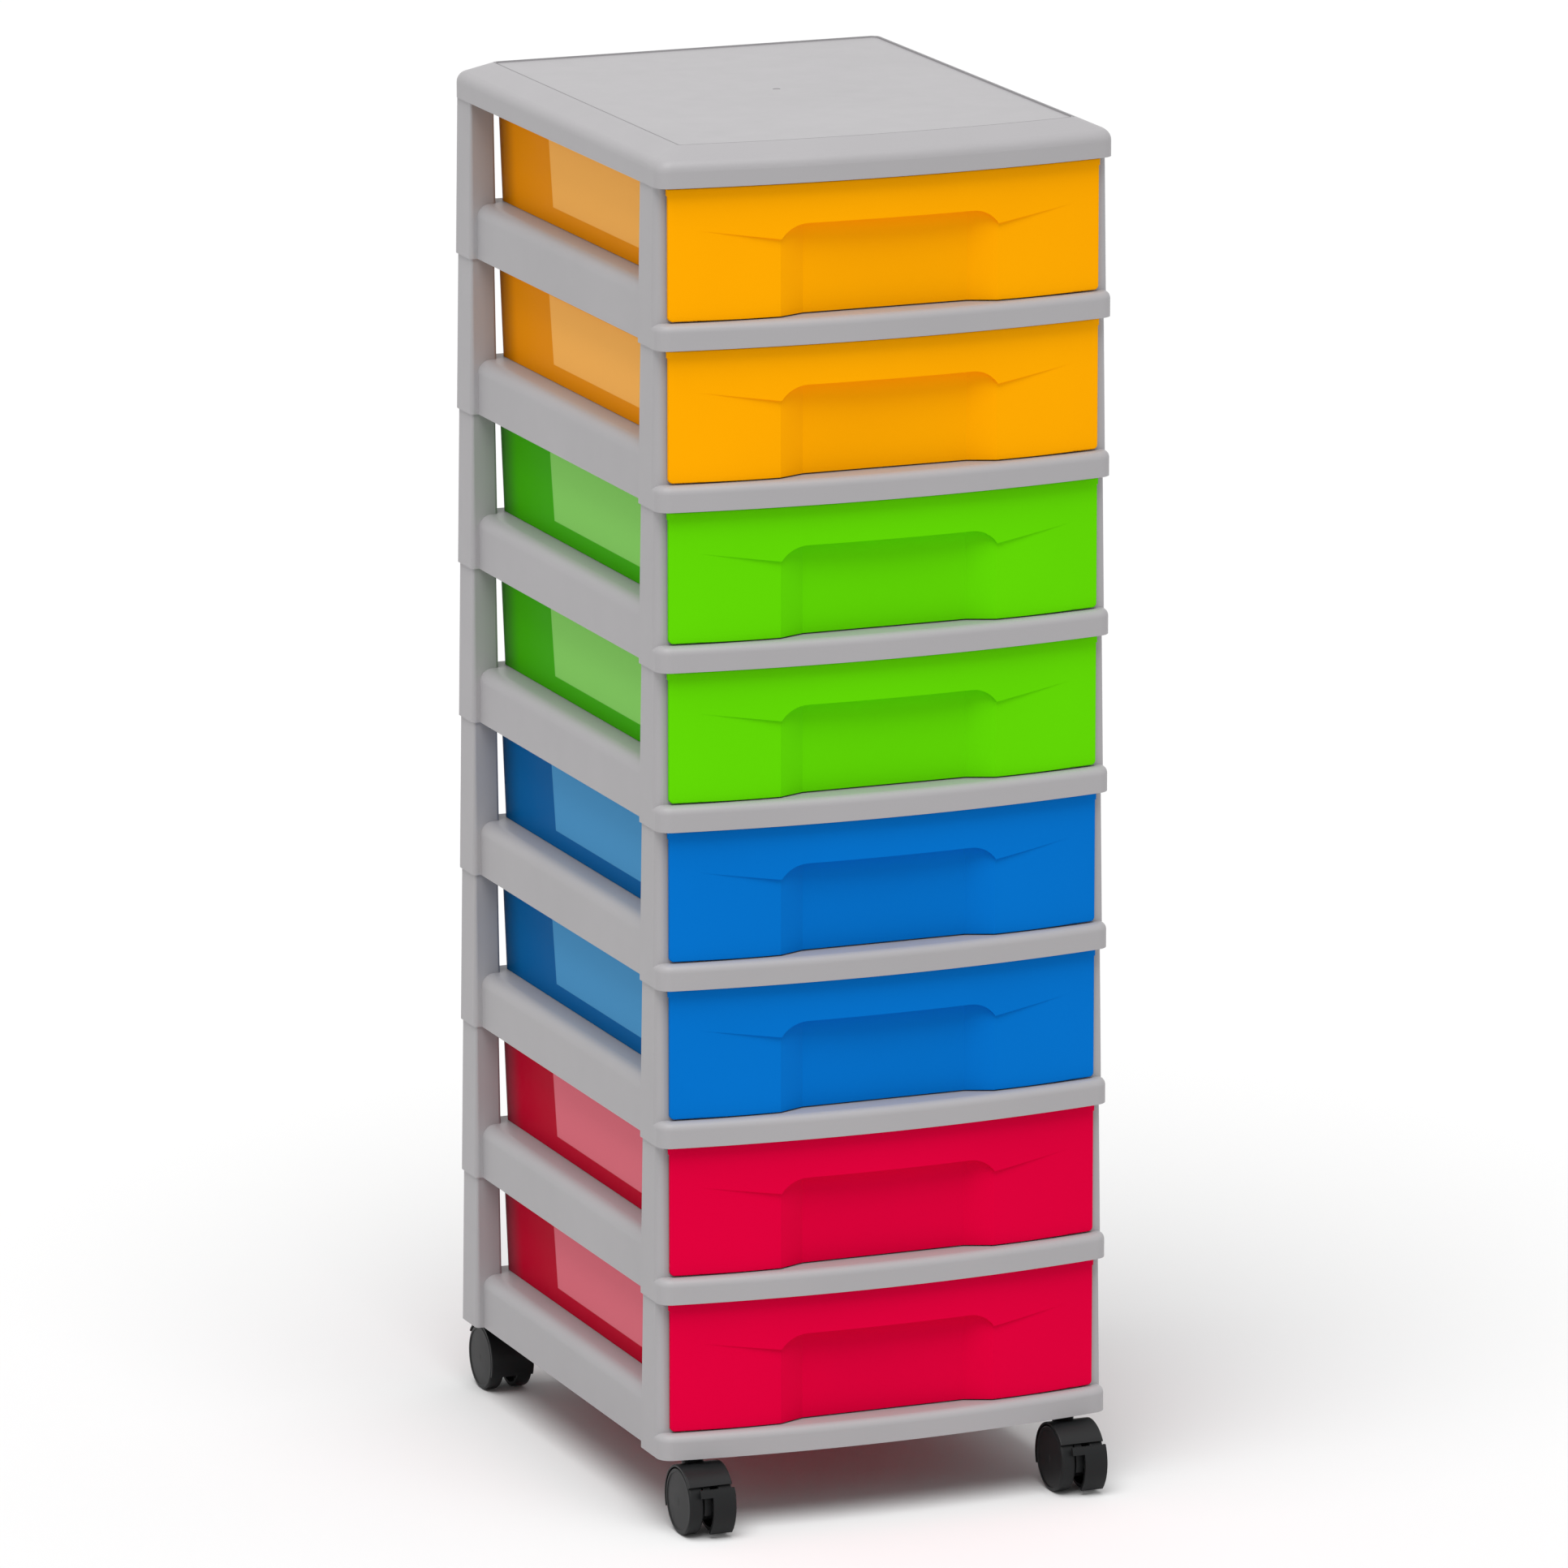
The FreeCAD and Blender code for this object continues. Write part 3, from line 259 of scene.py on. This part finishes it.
def drawer_plastic(name, colour, shaded_border, painted_rear_shade, pale):
    """Coloured plastic, with a matt panel in a polished border on the tub's outer sides; painted
    shade darkens the border.
    """
    shade = moulded(name, colour, DRAWER_ROUGHNESS, DRAWER_SPECULAR, DRAWER_SPECK_STRENGTH)
    x, y, z = shade.axes()
    height = shade.math("FLOORED_MODULO", shade.math("SUBTRACT", z, TIER_BASE), TIER_PITCH)
    depth = shade.math("SUBTRACT", y, TIER_FRONT)

    # Outer side of the tub, whose wall leans out upwards
    wall = shade.math("MULTIPLY_ADD", shade.math("SUBTRACT", height, TUB_FOOT),
                      TUB_DRAFT_SLOPE, TUB_FOOT_HALF - TUB_SKIN)
    beyond = shade.math("GREATER_THAN", shade.math("ABSOLUTE", x), wall)
    behind = shade.math("GREATER_THAN", depth, 0.0)
    outside = shade.math("MULTIPLY", beyond, behind)

    # Panel on that side, between its four edges
    rear_edge = shade.math("MULTIPLY_ADD", shade.math("SUBTRACT", height, PANEL_LOW),
                           PANEL_REAR_LEAN, PANEL_REAR)
    inside = shade.ramp(shade.math("SUBTRACT", rear_edge, depth), 0.0, PANEL_SOFTNESS)
    for value, edge, turn in ((depth, PANEL_FRONT, 1), (height, PANEL_LOW, 1),
                              (height, PANEL_HIGH, -1)):
        past = shade.ramp(value, edge, edge + turn * PANEL_SOFTNESS)
        inside = shade.math("MULTIPLY", inside, past)
    panel = shade.math("MULTIPLY", inside, outside)

    # Rear end of the outer side darker, as painted shade from the rear posts beside it
    rear_shade_share = shade.ramp(depth, REAR_SHADE_START, REAR_SHADE_END)
    # Outer side outside the panel: the border colour, a darker copy of the drawer's colour as
    # painted shade, turning to the painted rear shade
    side = shade.mix(outside, shade.source("Base Color"), shade.mix(rear_shade_share, shaded_border, painted_rear_shade))
    shade.join(shade.mix(panel, side, pale), shade.inputs["Base Color"])
    rough = shade.math("MULTIPLY_ADD", panel, PANEL_ROUGHER, shade.source("Roughness"))
    shade.join(rough, shade.inputs["Roughness"])
    etch = shade.math("MULTIPLY", shade.noise(ETCH_SCALE, 1.0), panel)
    normal = shade.bump(etch, ETCH_STRENGTH, SPECK_DEPTH, shade.source("Normal"))
    shade.join(normal, shade.inputs["Normal"])
    return shade


def cover_plastic(name, colour, line):
    """Grey plastic, with a thin dark line of painted shade where the cover's panel steps down."""
    shade = moulded(name, colour, GREY_ROUGHNESS, GREY_SPECULAR)
    x, y, z = shade.axes()
    aside = shade.math("SUBTRACT", shade.math("ABSOLUTE", x), EDGE_HALF)
    behind = shade.math("SUBTRACT", y, EDGE_REAR)
    from_centre = shade.math("SUBTRACT", y, EDGE_BOW_CENTRE)
    squares = shade.math("MULTIPLY_ADD", x, x, shade.math("MULTIPLY", from_centre, from_centre))
    ahead = shade.math("SUBTRACT", shade.math("SQRT", squares), EDGE_BOW_RADIUS)
    beyond = shade.math("MAXIMUM", shade.math("MAXIMUM", aside, behind), ahead)
    started = shade.ramp(beyond, -EDGE_SOFTNESS, 0.0)
    ended = shade.ramp(beyond, EDGE_LINE, EDGE_LINE + EDGE_SOFTNESS, 1.0, 0.0)
    on_top = shade.math("GREATER_THAN", z, EDGE_HEIGHT)
    share = shade.math("MULTIPLY", shade.math("MULTIPLY", started, ended), on_top)
    # Painted shade along the step of the cover's panel
    shade.join(shade.mix(share, shade.source("Base Color"), line), shade.inputs["Base Color"])
    return shade


def turned_steel(name, colour):
    """Steel with fine marks from the turning of the pin."""
    shade = Shade(name)
    mapping = shade.tree.nodes.new("ShaderNodeMapping")
    mapping.inputs["Scale"].default_value = TURNED_STRETCH
    shade.join(shade.place, mapping.inputs["Vector"])
    marks = shade.noise(TURNED_SCALE, 3.0, place=mapping.outputs[0])
    shade.join(shade.mix(marks, colour, scaled(colour, TURNED_DARKER)),
               shade.inputs["Base Color"])
    shade.join(shade.stretched(marks, STEEL_SMOOTHEST, STEEL_ROUGHEST),
               shade.inputs["Roughness"])
    shade.inputs["Metallic"].default_value = 1.0
    shade.join(shade.bump(marks, TURNED_STRENGTH, TURNED_DEPTH), shade.inputs["Normal"])
    return shade


# Colours as displayed. Each drawer has its own, its side's border darkened as painted shade, the
# border's rear end darker still as painted shade from the rear posts, and its matt panel.
GREY = linear(165, 163, 165)
# Grey of the painted shade along the step of the cover's panel
STEP_SHADE_GREY = linear(118, 116, 118)
BLACK = linear(23, 24, 25)
STEEL = linear(200, 200, 203)
DRAWER_COLOURS = {
    "orange": ((255, 168, 0), (236, 144, 0), (190, 114, 0), (255, 185, 93)),
    "green": ((97, 213, 3), (62, 170, 0), (60, 140, 28), (140, 212, 103)),
    "blue": ((4, 112, 200), (0, 93, 157), (2, 80, 132), (80, 152, 203)),
    "red": ((221, 0, 58), (186, 0, 40), (155, 42, 60), (226, 116, 130)),
}

shades = {"frame_grey": moulded("grey_plastic", GREY, GREY_ROUGHNESS, GREY_SPECULAR)}
for hue, tones in DRAWER_COLOURS.items():
    shades[f"drawer_{hue}"] = drawer_plastic(f"{hue}_plastic", *(linear(*tone) for tone in tones))
shades["castor_black"] = moulded("black_plastic", BLACK, BLACK_ROUGHNESS, BLACK_SPECULAR)
shades["castor_steel"] = turned_steel("steel", STEEL)

slots = {part["node"]: part["material_slot"] for part in frame["record"]["subparts"]}
for name, node in frame["nodes"].items():
    node.data.materials[0] = shades[slots[name]].material
# The cover's grey carries a thin line of painted shade at its panel's step
cover_shade = cover_plastic("cover_plastic", GREY, STEP_SHADE_GREY)
frame["nodes"]["top_cover"].data.materials[0] = cover_shade.material

# Floor
floor_mesh = bpy.data.meshes.new("floor")
floor_mesh.from_pydata(
    [(-FLOOR_HALF, -FLOOR_HALF, 0), (FLOOR_HALF, -FLOOR_HALF, 0),
     (FLOOR_HALF, FLOOR_HALF, 0), (-FLOOR_HALF, FLOOR_HALF, 0)], [], [(0, 1, 2, 3)])
floor = bpy.data.objects.new("floor", floor_mesh)
bpy.context.scene.collection.objects.link(floor)
floor_shade = Shade("floor_white")
clouds = floor_shade.noise(FLOOR_CLOUD_SCALE)
floor_shade.join(floor_shade.mix(clouds, FLOOR_TONE, scaled(FLOOR_TONE, FLOOR_LIFT)),
                 floor_shade.inputs["Base Color"])
floor_shade.inputs["Roughness"].default_value = FLOOR_ROUGHNESS
floor_shade.inputs["Specular IOR Level"].default_value = 0.0
floor_mesh.materials.append(floor_shade.material)

# World: white to the camera and in reflections, dimmer as light
world = bpy.data.worlds.new("studio")
bpy.context.scene.world = world
world.use_nodes = True
tree = world.node_tree
background = tree.nodes["Background"]
rays = tree.nodes.new("ShaderNodeLightPath")
seen = rays.outputs["Is Camera Ray"]
for ray in ("Is Glossy Ray", "Is Transmission Ray"):
    larger = tree.nodes.new("ShaderNodeMath")
    larger.operation = "MAXIMUM"
    tree.links.new(seen, larger.inputs[0])
    tree.links.new(rays.outputs[ray], larger.inputs[1])
    seen = larger.outputs[0]
level = tree.nodes.new("ShaderNodeMapRange")
level.inputs["To Min"].default_value = WORLD_LIGHT
level.inputs["To Max"].default_value = 1.0
tree.links.new(seen, level.inputs["Value"])
tree.links.new(level.outputs["Result"], background.inputs["Strength"])
background.inputs["Color"].default_value = WORLD_WHITE

# Key light from above, in front and to the left
key = bpy.data.lights.new("key", "SUN")
key.energy = KEY_LIGHT * math.pi
key.angle = KEY_SOFTNESS
aimed("key", key, direction(KEY_AZIMUTH, KEY_ELEVATION), Vector(), KEY_DISTANCE)

# Camera
lens = bpy.data.cameras.new("camera")
lens.sensor_width = CAMERA_SENSOR
lens.lens = CAMERA_LENS
lens.clip_start = CAMERA_NEAR
lens.clip_end = CAMERA_FAR
bpy.context.scene.camera = aimed("camera", lens, direction(CAMERA_AZIMUTH, CAMERA_ELEVATION),
                                 CAMERA_TARGET, CAMERA_DISTANCE)
bpy.context.scene.view_settings.view_transform = "Standard"
